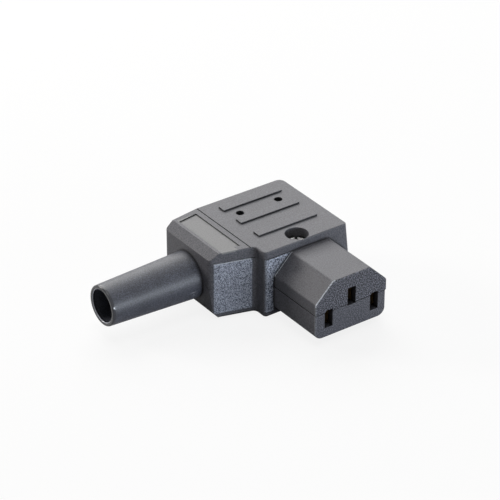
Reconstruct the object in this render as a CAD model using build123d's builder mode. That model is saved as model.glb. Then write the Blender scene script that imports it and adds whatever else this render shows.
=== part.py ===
from build123d import *
import os

os.makedirs("parts", exist_ok=True)

# Right-angle rewireable connector with three pin slots. The origin is the centre of the mating
# face. The nose points to -Y, the cord leaves to -X and +Z is up. All sizes are in millimetres.

# Mating nose, measured across its upper half
nose_width = 21.8
nose_height = 15.3
nose_reach = 17.5
nose_chamfer = 5.15
nose_ridge_radius = 1.0
nose_bottom_radius = 2.2
nose_edge_radius = 0.4
seam_step = 0.3
seam_ledge = 0.1
front_wall = 1.6

# Pin slots and the chambers behind them
pin_pitch = 14.0
earth_rise = 4.0
slot_row_drop = 2.45
slot_width = 2.5
slot_height = 5.0
slot_corner_width = 0.55
slot_corner_height = 0.8
chamber_width = 5.0
chamber_margin = 0.3

# Body, as plan lengths from the front band and heights from the nose's centre line
body_rise = 9.7
body_drop = 9.2
split_drop = 0.5
body_depth = 28.2
side_flare = 1.1
side_tuck = 0.9
fold_left = 14.6
groove_inset = 1.0
groove_depth = 4.05
shoulder_length = 10.4
shoulder_front_inset = 3.3
shoulder_back_inset = 1.2
wall = 2.0

# Gently sloped top of the shoulder, and the bevels over and under its end wall
fold_groove_width = 0.3
fold_groove_depth = 0.2
label_run = 8.05
label_fall = 0.25
end_bevel_fall = 1.75
end_tuck = 0.7
low_bevel_width = 1.5
low_bevel_height = 1.9

# Outer radii
corner_end_front = 1.0
corner_end_back = 1.0
corner_low_front = 2.2
corner_right_front = 1.0
corner_right_back = 1.8
corner_block = 1.1
corner_groove = 1.2
top_edge_radius = 0.35
bottom_edge_radius = 0.8

# Textured front walls, which stand out from the smooth bands over and under them
panel_rise = 0.2
low_band = 1.6
block_band = 2.1
shoulder_band = 3.0

# Rebate along the seam, which shows as a hairline on the body and a dark line on the nose
rebate_depth = 0.3
body_seam_height = 0.06
nose_seam_height = 0.15

# Raised grip bars
bar_count = 3
bar_length = 18.0
bar_width = 2.4
bar_height = 0.4
bar_pitch = 7.55
bar_centre_x = -1.05
bar_front_inset = 7.45

# Two cored posts, open at the top, whose pegs locate the lower shell
core_spacing = 11.9
core_centre_x = -1.15
core_inset = 19.75
core_radius = 1.1
core_depth = 5.0
core_post_radius = 2.4
core_peg_radius = 1.3
core_peg_length = 1.5
peg_clearance = 0.1

# Bare recessed label field
label_border_fold = 1.7
label_border_end = 0.8
label_border_front = 1.95
label_border_back = 2.0
label_depth = 0.25

# Cover screw
screw_x = -1.5
screw_rim = 0.2
recess_radius = 3.05
recess_depth = 4.9
boss_wall = 1.2
cover_head_radius = 2.8
cover_head_height = 1.7
cover_shank_radius = 1.5
cover_shank_length = 10.5
shank_clearance = 0.25
thread_clearance = 0.05
cover_drive_width = 0.8
cover_drive_depth = 0.8
pilot_spare = 0.5

# Bend sleeve and the end wall that grips it
sleeve_offset = 0.375
sleeve_length = 25.7
sleeve_base_radius = 6.3
sleeve_tip_radius = 5.35
sleeve_tip_round = 0.35
sleeve_bore_radius = 4.3
sleeve_neck_radius = 5.4
sleeve_collar_radius = 6.4
sleeve_collar_width = 2.0
sleeve_clearance = 0.05
sleeve_rib_width = 1.2
cord_way_radius = 4.6

# Spring contacts
strip = 0.5
contact_clearance = 0.1
contact_setback = 0.6
contact_length = 12.5
pinch_gap = 1.6
mouth_gap = 2.6
mouth_length = 1.8
leaf_taper_length = 5.0
tail_thickness = 0.6
tail_width = 4.0
earth_tail_x = 2.5
earth_tail_width = 1.8

# Terminal blocks and their screws
terminal_width = 5.0
terminal_length = 5.5
terminal_height = 5.2
terminal_side_gap = 0.3
wire_bore_radius = 1.4
mains_terminal_inset = 8.0
earth_terminal_inset = 14.0
terminal_shank_radius = 1.2
terminal_head_radius = 1.9
terminal_head_height = 1.1
terminal_drive_width = 0.5
terminal_drive_depth = 0.5

# Cord clamp
clamp_inset = 7.9
clamp_wall_gap = 1.0
clamp_bar_width = 3.8
clamp_bar_thickness = 2.2
clamp_bar_end = 2.1
clamp_bar_rise = 2.8
clamp_arch_radius = 4.4
clamp_post_radius = 1.8
clamp_shank_radius = 1.0
clamp_shank_length = 7.0
clamp_head_radius = 1.7
clamp_head_height = 1.0
clamp_drive_width = 0.5
clamp_drive_depth = 0.5

# Derived places
split_z = -split_drop
top_z = body_rise
bottom_z = -body_drop
lower_left_x = -nose_width / 2 - seam_ledge
lower_right_x = nose_width / 2 - seam_step
front_y = nose_reach
back_y = front_y + body_depth
block_right = pin_pitch / 2 + terminal_width / 2 + terminal_side_gap + wall
right_x = block_right + side_flare
fold_x = -fold_left
groove_x = fold_x + groove_inset
end_x = fold_x - shoulder_length
label_end_x = fold_x - label_run
label_end_z = top_z - label_fall
end_bevel_z = label_end_z - end_bevel_fall
shoulder_y = front_y + groove_depth
shoulder_end_y = shoulder_y + shoulder_front_inset
back_end_y = back_y - shoulder_back_inset
shoulder_band_z = top_z - shoulder_band
block_band_z = top_z - block_band
low_band_z = bottom_z + low_band
inner_front_y = front_y + wall
inner_back_y = back_y - wall
inner_right_x = block_right - wall
inner_groove_x = groove_x + wall
inner_end_x = end_x + wall
floor_z = bottom_z + wall
ceiling_z = top_z - wall
shoulder_ceiling_z = label_end_z - wall
mains_z = -slot_row_drop
earth_z = mains_z + earth_rise
pins = [(-pin_pitch / 2, mains_z), (0, earth_z), (pin_pitch / 2, mains_z)]
chamber_height = slot_height + 2 * chamber_margin
mains_floor_z = mains_z - chamber_height / 2
earth_floor_z = earth_z - chamber_height / 2
contact_front_y = front_wall + contact_setback
contact_back_y = contact_front_y + contact_length
contact_height = chamber_height - contact_clearance
contact_width = chamber_width - 2 * contact_clearance
mains_terminal_y = front_y + mains_terminal_inset
earth_terminal_y = front_y + earth_terminal_inset
screw_y = front_y + screw_rim + recess_radius
screw_seat_z = top_z - recess_depth
screw_tip_z = screw_seat_z - cover_shank_length
earth_terminal_x = core_centre_x
core_y = front_y + core_inset
core_points = [(core_centre_x - core_spacing / 2, core_y), (core_centre_x + core_spacing / 2, core_y)]
sleeve_y = (shoulder_end_y + back_end_y) / 2 - sleeve_offset
sleeve_z = split_z
collar_end_x = inner_end_x + sleeve_collar_width
rib_x = collar_end_x + sleeve_clearance
clamp_x = end_x + clamp_inset
clamp_seat_z = clamp_bar_rise
clamp_top_z = clamp_seat_z + clamp_bar_thickness
past = 1.0


def shoulder_front(x):
    """Y of the shoulder's slanting front wall at x."""
    return shoulder_y + shoulder_front_inset * (groove_x - x) / (groove_x - end_x)


def shoulder_back(x):
    """Y of the shoulder's slanting back wall at x."""
    return back_y - shoulder_back_inset * (fold_x - x) / shoulder_length


# The clamp bar reaches from the sleeve's axis to a gap before the nearer inner wall
clamp_front_room = sleeve_y - shoulder_front(clamp_x) - wall
clamp_back_room = shoulder_back(clamp_x) - wall - sleeve_y
clamp_bar_half = min(clamp_front_room, clamp_back_room) - clamp_wall_gap
clamp_reach = clamp_bar_half - clamp_bar_end
clamp_points = [(clamp_x, sleeve_y - clamp_reach), (clamp_x, sleeve_y + clamp_reach)]


def body_plan(end_front_radius):
    """Plan outline of the body, with the corners of its left side rounded."""
    with BuildSketch() as plan:
        with BuildLine():
            Polyline(
                (end_x, shoulder_end_y),
                (groove_x, shoulder_y),
                (groove_x, front_y),
                (right_x, front_y),
                (right_x, back_y),
                (fold_x, back_y),
                (end_x, back_end_y),
                close=True,
            )
        make_face()
        rounds = [
            ((end_x, shoulder_end_y), end_front_radius),
            ((end_x, back_end_y), corner_end_back),
            ((groove_x, front_y), corner_block),
            ((groove_x, shoulder_y), corner_groove),
        ]
        for (x, y), radius in rounds:
            fillet(plan.vertices().sort_by_distance((x, y))[0], radius)
    return plan.sketch


def panel_plan(plan):
    """The body's plan with its front walls brought out, as far as the nose hides their end."""
    with BuildSketch() as raised:
        with Locations((0, -panel_rise)):
            add(plan)
        Rectangle(past - end_x, 2 * back_y, align=(Align.MAX, Align.CENTER), mode=Mode.INTERSECT)
        add(plan)
    return raised.sketch


def block_panel_plan(raised, plan):
    """The body's plan with only the block's front wall brought out."""
    with BuildSketch() as block:
        add(raised)
        with Locations((groove_x, 0)):
            Rectangle(
                right_x - groove_x,
                2 * back_y,
                align=(Align.MIN, Align.CENTER),
                mode=Mode.INTERSECT,
            )
        add(plan)
    return block.sketch


def seam_ring(plan):
    """The strip along the lower shell's rim, body and nose together."""
    with BuildSketch() as rim:
        add(plan)
        with Locations(((lower_right_x + lower_left_x) / 2, inner_front_y / 2)):
            Rectangle(lower_right_x - lower_left_x, inner_front_y)
    with BuildSketch() as ring:
        add(rim.sketch)
        offset(rim.sketch, amount=-rebate_depth, mode=Mode.SUBTRACT)
    return ring.sketch


def cavity_plan():
    """Plan outline of the hollow inside the body."""
    with BuildSketch() as plan:
        with BuildLine():
            Polyline(
                (inner_end_x, shoulder_front(inner_end_x) + wall),
                (inner_groove_x, shoulder_front(inner_groove_x) + wall),
                (inner_groove_x, inner_front_y),
                (inner_right_x, inner_front_y),
                (inner_right_x, inner_back_y),
                (fold_x, inner_back_y),
                (inner_end_x, shoulder_back(inner_end_x) - wall),
                close=True,
            )
        make_face()
    return plan.sketch


def block_cavity_plan():
    """Plan outline of the deeper part of the hollow, under the block's flat top."""
    with BuildSketch() as plan:
        with Locations(((inner_groove_x + inner_right_x) / 2, (inner_front_y + inner_back_y) / 2)):
            Rectangle(inner_right_x - inner_groove_x, inner_back_y - inner_front_y)
    return plan.sketch


def right_wall_corners(part):
    """The front and back upright edges of the leaning right-hand wall."""
    uprights = part.faces().sort_by(Axis.X)[-1].edges().filter_by(Axis.Y, reverse=True)
    return uprights.sort_by(Axis.Y)[0], uprights.sort_by(Axis.Y)[-1]


def box_between(low, high, mode=Mode.ADD):
    """A box from its lowest corner to its highest corner."""
    size = [b - a for a, b in zip(low, high)]
    with Locations(low):
        Box(*size, align=(Align.MIN, Align.MIN, Align.MIN), mode=mode)


def upright(x, y, radius, low_z, high_z, mode=Mode.ADD):
    """A vertical cylinder between two heights."""
    with Locations((x, y, low_z)):
        Cylinder(radius, high_z - low_z, align=(Align.CENTER, Align.CENTER, Align.MIN), mode=mode)


def along_sleeve(radius, low_x, high_x, mode=Mode.ADD):
    """A cylinder on the sleeve's axis between two places along X."""
    with Locations(Location((low_x, sleeve_y, sleeve_z), (0, 90, 0))):
        Cylinder(radius, high_x - low_x, align=(Align.CENTER, Align.CENTER, Align.MIN), mode=mode)


def cut_chambers():
    """Cut the pin slots and the contact chambers, as far as they lie in the present shell."""
    with BuildSketch(Plane.XZ) as slots:
        for x, z in pins:
            with Locations((x, z)):
                Rectangle(slot_width, slot_height)
            if z == mains_z:
                left = x - slot_width / 2
                top = z + slot_height / 2
                corner = [(left, top), (left, top - slot_corner_height), (left + slot_corner_width, top)]
                Polygon(*corner, align=None, mode=Mode.SUBTRACT)
    extrude(slots.sketch, amount=-front_wall, mode=Mode.SUBTRACT)
    for x, z in pins:
        low_z = z - chamber_height / 2
        end_y = contact_back_y + chamber_margin if x == 0 else inner_front_y
        box_between(
            (x - chamber_width / 2, front_wall, low_z),
            (x + chamber_width / 2, end_y, low_z + chamber_height),
            Mode.SUBTRACT,
        )


band_face = body_plan(corner_end_front)
low_face = body_plan(corner_low_front)
panel_face = panel_plan(low_face)
block_panel_face = block_panel_plan(panel_face, band_face)
ring_face = seam_ring(panel_face)

# Upper shell: block, sloped shoulder and the upper half of the nose
with BuildPart() as upper_shell:
    with BuildSketch(Plane.XY.offset(split_z)):
        add(panel_face)
    extrude(amount=shoulder_band_z - split_z)
    with BuildSketch(Plane.XY.offset(shoulder_band_z)):
        add(block_panel_face)
    extrude(amount=block_band_z - shoulder_band_z)
    with BuildSketch(Plane.XY.offset(block_band_z)):
        add(band_face)
    extrude(amount=top_z - block_band_z)
    with BuildSketch(Plane.XZ.offset(panel_rise - front_y)):
        with BuildLine():
            Polyline(
                (end_x, split_z),
                (right_x, split_z),
                (block_right, top_z),
                (fold_x, top_z),
                (label_end_x, label_end_z),
                (end_x, end_bevel_z),
                close=True,
            )
        make_face()
    extrude(amount=-body_depth - panel_rise, mode=Mode.INTERSECT)

    corner_front, corner_back = right_wall_corners(upper_shell)
    fillet(corner_front, corner_right_front)
    corner_front, corner_back = right_wall_corners(upper_shell)
    fillet(corner_back, corner_right_back)
    rim_edges = upper_shell.edges().filter_by_position(Axis.Z, end_bevel_z, top_z)
    rim_edges = rim_edges.filter_by(Axis.Z, reverse=True)
    creases = rim_edges.filter_by(Axis.Y).filter_by_position(Axis.X, label_end_x, fold_x)
    fillet([edge for edge in rim_edges if edge not in creases], top_edge_radius)

    # Upper half of the nose
    with BuildSketch(Plane.XZ):
        with BuildLine():
            Polyline(
                (-nose_width / 2, split_z),
                (nose_width / 2, split_z),
                (nose_width / 2, nose_height / 2 - nose_chamfer),
                (nose_width / 2 - nose_chamfer, nose_height / 2),
                (nose_chamfer - nose_width / 2, nose_height / 2),
                (-nose_width / 2, nose_height / 2 - nose_chamfer),
                close=True,
            )
        nose_face = make_face()
        base_points, side_points, top_points = nose_face.vertices().group_by(Axis.Y)
        fillet(side_points + top_points, nose_ridge_radius)
    extrude(amount=-inner_front_y)
    front_edges = upper_shell.faces().sort_by(Axis.Y)[0].edges()
    fillet(front_edges.filter_by_position(Axis.Z, split_z + past, top_z), nose_edge_radius)

    # Hollow, with the rib that backs the sleeve's collar
    with BuildSketch(Plane.XY.offset(split_z)):
        add(cavity_plan())
    extrude(amount=shoulder_ceiling_z - split_z, mode=Mode.SUBTRACT)
    with BuildSketch(Plane.XY.offset(split_z)):
        add(block_cavity_plan())
    extrude(amount=ceiling_z - split_z, mode=Mode.SUBTRACT)
    box_between(
        (rib_x, shoulder_end_y, split_z),
        (rib_x + sleeve_rib_width, inner_back_y, shoulder_ceiling_z),
    )
    along_sleeve(cord_way_radius, rib_x - past, rib_x + sleeve_rib_width + past, Mode.SUBTRACT)
    along_sleeve(sleeve_neck_radius + sleeve_clearance, end_x - past, inner_end_x, Mode.SUBTRACT)
    along_sleeve(sleeve_collar_radius + sleeve_clearance, inner_end_x, rib_x, Mode.SUBTRACT)

    # Boss, recess and passage for the cover screw
    upright(screw_x, screw_y, recess_radius + boss_wall, screw_seat_z - boss_wall, ceiling_z)
    upright(screw_x, screw_y, cover_shank_radius + shank_clearance + boss_wall, split_z, screw_seat_z)
    upright(screw_x, screw_y, recess_radius, screw_seat_z, top_z + past, Mode.SUBTRACT)
    upright(screw_x, screw_y, cover_shank_radius + shank_clearance, split_z, top_z, Mode.SUBTRACT)

    # Cored posts with locating pegs
    for x, y in core_points:
        upright(x, y, core_post_radius, split_z, ceiling_z)
        upright(x, y, core_peg_radius, split_z - core_peg_length, split_z)
        upright(x, y, core_radius, top_z - core_depth, top_z + past, Mode.SUBTRACT)

    cut_chambers()

    # Fine groove along the fold between the flat top and the shoulder
    box_between(
        (fold_x - fold_groove_width, shoulder_y, top_z - fold_groove_depth),
        (fold_x, back_y + past, top_z + past),
        Mode.SUBTRACT,
    )

    # Raised grip bars on the flat top
    with BuildSketch(Plane.XY.offset(top_z)):
        for index in range(bar_count):
            bar_y = front_y + bar_front_inset + bar_width / 2 + index * bar_pitch
            with Locations((bar_centre_x, bar_y)):
                Rectangle(bar_length, bar_width)
    extrude(amount=bar_height)

    # Bare label field, its front and back sides parallel to the shoulder's walls
    label_plane = Plane(
        origin=(fold_x, 0, top_z),
        x_dir=(label_run, 0, label_fall),
        z_dir=(-label_fall, 0, label_run),
    )
    field_right = fold_x - label_border_fold
    field_left = label_end_x + label_border_end
    with BuildSketch(label_plane):
        with BuildLine():
            Polyline(
                (field_right - fold_x, shoulder_front(field_right) + label_border_front),
                (field_left - fold_x, shoulder_front(field_left) + label_border_front),
                (field_left - fold_x, shoulder_back(field_left) - label_border_back),
                (field_right - fold_x, shoulder_back(field_right) - label_border_back),
                close=True,
            )
        make_face()
    extrude(amount=-label_depth, mode=Mode.SUBTRACT)

# Lower shell: body tray, lower half of the nose, seats, boss, sockets and clamp posts
with BuildPart() as lower_shell:
    with BuildSketch(Plane.XY.offset(split_z)):
        add(panel_face)
    extrude(amount=low_band_z - split_z)
    with BuildSketch(Plane.XY.offset(low_band_z)):
        add(low_face)
    extrude(amount=bottom_z - low_band_z)
    with BuildSketch(Plane.XZ.offset(panel_rise - front_y)):
        with BuildLine():
            Polyline(
                (end_x, split_z),
                (right_x, split_z),
                (right_x - side_tuck, bottom_z),
                (end_x + end_tuck + low_bevel_width, bottom_z),
                (end_x + end_tuck, bottom_z + low_bevel_height),
                close=True,
            )
        make_face()
    extrude(amount=-body_depth - panel_rise, mode=Mode.INTERSECT)
    corner_front, corner_back = right_wall_corners(lower_shell)
    fillet(corner_front, corner_right_front)
    corner_front, corner_back = right_wall_corners(lower_shell)
    fillet(corner_back, corner_right_back)
    fillet(lower_shell.faces().sort_by(Axis.Z)[0].edges(), bottom_edge_radius)

    # Lower half of the nose: a step inside the upper half on the right, a ledge outside it on the left
    with BuildSketch(Plane.XZ):
        with BuildLine():
            Polyline(
                (lower_left_x, split_z),
                (lower_right_x, split_z),
                (lower_right_x, -nose_height / 2),
                (lower_left_x, -nose_height / 2),
                close=True,
            )
        nose_face = make_face()
        fillet(nose_face.vertices().group_by(Axis.Y)[0], nose_bottom_radius)
    extrude(amount=-inner_front_y)
    front_edges = lower_shell.faces().sort_by(Axis.Y)[0].edges()
    fillet(front_edges.filter_by_position(Axis.Z, bottom_z, split_z - past), nose_edge_radius)

    # Hollow, with the rib that backs the sleeve's collar
    with BuildSketch(Plane.XY.offset(split_z)):
        add(cavity_plan())
    extrude(amount=floor_z - split_z, mode=Mode.SUBTRACT)
    box_between((rib_x, shoulder_end_y, floor_z), (rib_x + sleeve_rib_width, inner_back_y, split_z))
    along_sleeve(cord_way_radius, rib_x - past, rib_x + sleeve_rib_width + past, Mode.SUBTRACT)
    along_sleeve(sleeve_neck_radius + sleeve_clearance, end_x - past, inner_end_x, Mode.SUBTRACT)
    along_sleeve(sleeve_collar_radius + sleeve_clearance, inner_end_x, rib_x, Mode.SUBTRACT)

    # Seats under the contacts' tails and the terminals
    for x, z in pins:
        if x != 0:
            box_between(
                (x - terminal_width / 2, inner_front_y, floor_z),
                (x + terminal_width / 2, mains_terminal_y + terminal_length / 2, mains_floor_z),
            )
    box_between(
        (earth_terminal_x - terminal_width / 2, earth_terminal_y - terminal_length / 2, floor_z),
        (earth_terminal_x + terminal_width / 2, earth_terminal_y + terminal_length / 2, earth_floor_z),
    )

    # Boss for the cover screw
    pilot_z = screw_tip_z - pilot_spare
    upright(screw_x, screw_y, cover_shank_radius + boss_wall, floor_z, split_z)
    upright(screw_x, screw_y, cover_shank_radius + thread_clearance, pilot_z, split_z, Mode.SUBTRACT)

    # Sockets for the upper shell's pegs
    for x, y in core_points:
        upright(x, y, core_post_radius, floor_z, split_z)
        socket_z = split_z - core_peg_length - peg_clearance
        upright(x, y, core_peg_radius + peg_clearance, socket_z, split_z, Mode.SUBTRACT)

    # Posts for the cord clamp
    for x, y in clamp_points:
        upright(x, y, clamp_post_radius, floor_z, clamp_seat_z)
        clamp_pilot_z = clamp_top_z - clamp_shank_length - pilot_spare
        upright(x, y, clamp_shank_radius + thread_clearance, clamp_pilot_z, clamp_seat_z, Mode.SUBTRACT)

    cut_chambers()

    # Sideways channel for the earth contact's tail
    channel_side = earth_tail_width / 2 + contact_clearance
    box_between(
        (-chamber_width / 2, contact_back_y - tail_width, earth_floor_z),
        (earth_tail_x + channel_side, contact_back_y + chamber_margin, split_z),
        Mode.SUBTRACT,
    )
    box_between(
        (earth_tail_x - channel_side, contact_back_y - tail_width, earth_floor_z),
        (earth_tail_x + channel_side, inner_front_y, split_z),
        Mode.SUBTRACT,
    )

    # Rebate along the seam, higher round the nose
    with BuildSketch(Plane.XY.offset(split_z)):
        add(ring_face)
    extrude(amount=-body_seam_height, mode=Mode.SUBTRACT)
    with BuildSketch(Plane.XY.offset(split_z)):
        add(ring_face)
        Rectangle(2 * nose_width, 2 * (front_y - panel_rise), mode=Mode.INTERSECT)
    extrude(amount=-nose_seam_height, mode=Mode.SUBTRACT)

# Bend sleeve, turned from its profile: radius against distance from the tip
with BuildPart() as bend_sleeve:
    tip_x = end_x - sleeve_length
    axis_plane = Plane(origin=(tip_x, sleeve_y, sleeve_z), x_dir=(0, 0, 1), z_dir=(0, 1, 0))
    neck_end = sleeve_length + wall
    collar_end = neck_end + sleeve_collar_width
    with BuildSketch(axis_plane):
        with BuildLine():
            Polyline(
                (sleeve_bore_radius, 0),
                (sleeve_tip_radius, 0),
                (sleeve_base_radius, sleeve_length),
                (sleeve_neck_radius, sleeve_length),
                (sleeve_neck_radius, neck_end),
                (sleeve_collar_radius, neck_end),
                (sleeve_collar_radius, collar_end),
                (sleeve_bore_radius, collar_end),
                close=True,
            )
        make_face()
    revolve(axis=Axis((tip_x, sleeve_y, sleeve_z), (1, 0, 0)))
    fillet(bend_sleeve.faces().sort_by(Axis.X)[0].edges(), sleeve_tip_round)


def spring_leaves(x, z):
    """The two sprung leaves of a contact and the web that joins them at the back."""
    outer = contact_width / 2 - strip / 2
    mouth = mouth_gap / 2 + strip / 2
    pinch = pinch_gap / 2 + strip / 2
    pinch_y = contact_front_y + mouth_length
    straight_y = pinch_y + leaf_taper_length
    web_y = contact_back_y - strip / 2
    with BuildSketch(Plane.XY.offset(z - chamber_height / 2)) as leaves:
        with BuildLine() as path:
            Polyline(
                (x - mouth, contact_front_y),
                (x - pinch, pinch_y),
                (x - outer, straight_y),
                (x - outer, web_y),
                (x + outer, web_y),
                (x + outer, straight_y),
                (x + pinch, pinch_y),
                (x + mouth, contact_front_y),
            )
        trace(path.line, line_width=strip)
    extrude(leaves.sketch, amount=contact_height)


def mains_contact(x):
    """A line or neutral contact: leaves, web and a straight tail under its terminal."""
    tail_end_y = mains_terminal_y + terminal_length / 2
    with BuildPart() as contact:
        spring_leaves(x, mains_z)
        box_between(
            (x - tail_width / 2, contact_back_y - strip, mains_floor_z),
            (x + tail_width / 2, tail_end_y, mains_floor_z + tail_thickness),
        )
    return contact.part


def terminal_block(x, y, base_z):
    """A brass block with a wire bore from the back and a screw hole from the top."""
    middle_z = base_z + terminal_height / 2
    with BuildPart() as block:
        box_between(
            (x - terminal_width / 2, y - terminal_length / 2, base_z),
            (x + terminal_width / 2, y + terminal_length / 2, base_z + terminal_height),
        )
        with Locations(Location((x, y, middle_z), (90, 0, 0))):
            Cylinder(wire_bore_radius, terminal_length, mode=Mode.SUBTRACT)
        screw_hole_radius = terminal_shank_radius + thread_clearance
        upright(x, y, screw_hole_radius, middle_z, base_z + terminal_height, Mode.SUBTRACT)
    return block.part


def slotted_screw(x, y, seat_z, shank, head, drive):
    """A screw with a round head that sits at seat_z; each size pair is radius or width, length."""
    shank_radius, shank_length = shank
    head_radius, head_height = head
    drive_width, drive_depth = drive
    with BuildPart() as screw:
        upright(x, y, shank_radius, seat_z - shank_length, seat_z)
        upright(x, y, head_radius, seat_z, seat_z + head_height)
        box_between(
            (x - head_radius, y - drive_width / 2, seat_z + head_height - drive_depth),
            (x + head_radius, y + drive_width / 2, seat_z + head_height),
            Mode.SUBTRACT,
        )
    return screw.part


with BuildPart() as line_contact:
    add(mains_contact(-pin_pitch / 2))

with BuildPart() as neutral_contact:
    add(mains_contact(pin_pitch / 2))

# Earth contact: its tail steps sideways past the cover screw's boss, then back under its terminal
with BuildPart() as earth_contact:
    spring_leaves(0, earth_z)
    tail_side = earth_tail_width / 2
    box_between(
        (-contact_width / 2, contact_back_y - tail_width + contact_clearance, earth_floor_z),
        (earth_tail_x + tail_side, contact_back_y, earth_floor_z + tail_thickness),
    )
    tail_top_z = earth_floor_z + tail_thickness
    step_y = earth_terminal_y - terminal_length / 2
    box_between(
        (earth_tail_x - tail_side, contact_back_y - strip, earth_floor_z),
        (earth_tail_x + tail_side, step_y + earth_tail_width, tail_top_z),
    )
    box_between(
        (earth_terminal_x, step_y, earth_floor_z),
        (earth_tail_x, step_y + earth_tail_width, tail_top_z),
    )
    box_between(
        (earth_terminal_x - tail_width / 2, step_y, earth_floor_z),
        (earth_terminal_x + tail_width / 2, earth_terminal_y + terminal_length / 2, tail_top_z),
    )

mains_block_z = mains_floor_z + tail_thickness
earth_block_z = earth_floor_z + tail_thickness

with BuildPart() as line_terminal:
    add(terminal_block(-pin_pitch / 2, mains_terminal_y, mains_block_z))

with BuildPart() as neutral_terminal:
    add(terminal_block(pin_pitch / 2, mains_terminal_y, mains_block_z))

with BuildPart() as earth_terminal:
    add(terminal_block(earth_terminal_x, earth_terminal_y, earth_block_z))

with BuildPart() as terminal_screws:
    terminals = [
        (-pin_pitch / 2, mains_terminal_y, mains_block_z),
        (pin_pitch / 2, mains_terminal_y, mains_block_z),
        (earth_terminal_x, earth_terminal_y, earth_block_z),
    ]
    for x, y, base_z in terminals:
        screw = slotted_screw(
            x,
            y,
            base_z + terminal_height,
            (terminal_shank_radius, terminal_height / 2),
            (terminal_head_radius, terminal_head_height),
            (terminal_drive_width, terminal_drive_depth),
        )
        add(screw)

# Clamp bar, arched over the cord's way
with BuildPart() as clamp_bar:
    box_between(
        (clamp_x - clamp_bar_width / 2, sleeve_y - clamp_bar_half, clamp_seat_z),
        (clamp_x + clamp_bar_width / 2, sleeve_y + clamp_bar_half, clamp_top_z),
    )
    along_sleeve(
        clamp_arch_radius,
        clamp_x - clamp_bar_width / 2,
        clamp_x + clamp_bar_width / 2,
        Mode.SUBTRACT,
    )
    for x, y in clamp_points:
        hole_radius = clamp_shank_radius + thread_clearance
        upright(x, y, hole_radius, clamp_seat_z, clamp_top_z, Mode.SUBTRACT)

with BuildPart() as clamp_screws:
    for x, y in clamp_points:
        screw = slotted_screw(
            x,
            y,
            clamp_top_z,
            (clamp_shank_radius, clamp_shank_length),
            (clamp_head_radius, clamp_head_height),
            (clamp_drive_width, clamp_drive_depth),
        )
        add(screw)

with BuildPart() as cover_screw:
    screw = slotted_screw(
        screw_x,
        screw_y,
        screw_seat_z,
        (cover_shank_radius, cover_shank_length),
        (cover_head_radius, cover_head_height),
        (cover_drive_width, cover_drive_depth),
    )
    add(screw)

pieces = {
    "upper_shell": upper_shell,
    "lower_shell": lower_shell,
    "bend_sleeve": bend_sleeve,
    "line_contact": line_contact,
    "neutral_contact": neutral_contact,
    "earth_contact": earth_contact,
    "line_terminal": line_terminal,
    "neutral_terminal": neutral_terminal,
    "earth_terminal": earth_terminal,
    "terminal_screws": terminal_screws,
    "clamp_bar": clamp_bar,
    "clamp_screws": clamp_screws,
    "cover_screw": cover_screw,
}
for name, piece in pieces.items():
    piece.part.label = name
    export_step(piece.part, f"parts/{name}.step")
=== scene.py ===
"""Finishes, moulded detail, light and camera for a right-angle power connector.

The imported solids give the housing, contacts and terminals. This file gives each of them its finish,
and puts finer surfaces in place of the bend sleeve and the screws. Lengths are in millimetres until a
mesh is written, and +Z is up, with the origin at the centre of the mating face.
"""

from __future__ import annotations

import logging
import math
from dataclasses import dataclass, field
from enum import Enum

import bmesh
import bpy
import numpy as np
from mathutils import Matrix, Vector

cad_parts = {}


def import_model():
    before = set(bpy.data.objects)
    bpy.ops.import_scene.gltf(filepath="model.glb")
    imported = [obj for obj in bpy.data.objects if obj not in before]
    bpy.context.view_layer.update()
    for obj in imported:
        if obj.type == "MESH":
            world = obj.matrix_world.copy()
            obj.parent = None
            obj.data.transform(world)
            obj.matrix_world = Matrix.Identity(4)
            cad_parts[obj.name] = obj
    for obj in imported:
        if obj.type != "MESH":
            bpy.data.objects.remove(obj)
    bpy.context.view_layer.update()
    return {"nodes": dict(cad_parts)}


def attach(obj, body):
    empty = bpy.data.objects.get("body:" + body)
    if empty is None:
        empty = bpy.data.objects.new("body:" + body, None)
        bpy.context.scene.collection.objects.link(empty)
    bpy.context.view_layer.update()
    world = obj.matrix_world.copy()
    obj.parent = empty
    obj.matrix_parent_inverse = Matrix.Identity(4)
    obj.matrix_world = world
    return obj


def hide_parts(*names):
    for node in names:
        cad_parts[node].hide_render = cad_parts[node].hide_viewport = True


LOG = logging.getLogger("connector")
MM = 0.001
BODY = "root"

# Curve of an sRGB value: end and slope of its straight foot, then lift and power of the rest
SRGB_FOOT = 0.04045
SRGB_SLOPE = 12.92
SRGB_LIFT = 0.055
SRGB_POWER = 2.4

# Span that smooth noise mostly fills, and its detail in broad patches, in grain and in sparked grain
NOISE_SPAN = (0.3, 0.7)
BROAD_DETAIL = 2.0
GRAIN_DETAIL = 3.0
SPARK_DETAIL = 4.0

# Index of refraction of the plastics
PLASTIC_IOR = 1.5

# Samples of the shaders that look round a point
BEVEL_SAMPLES = 6
CREVICE_SAMPLES = 8

# Cosines of a softened normal's turn at which an edge counts in full, and not at all
EDGE_TURN = (0.8, 0.98)

# Distances in millimetres under which points are merged and faces dissolved
MERGE = 0.002
SLIVER = 0.001

# Directions that the marked surfaces face
TO_FRONT = (0.0, -1.0, 0.0)
TO_LEFT = (-1.0, 0.0, 0.0)
TO_UPPER_LEFT = (-1.0, 0.0, 1.0)

WHITE = (1.0, 1.0, 1.0, 1.0)

Colour = tuple[float, float, float]
Point = tuple[float, float, float]
Range = tuple[float, float]
Socket = bpy.types.NodeSocket


class NodeSet(Enum):
    """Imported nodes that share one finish."""

    SHELLS = ("upper_shell", "lower_shell")
    CONTACTS = ("line_contact", "neutral_contact", "earth_contact")
    TERMINALS = ("line_terminal", "neutral_terminal", "earth_terminal")
    CLAMP = ("clamp_bar",)


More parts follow.
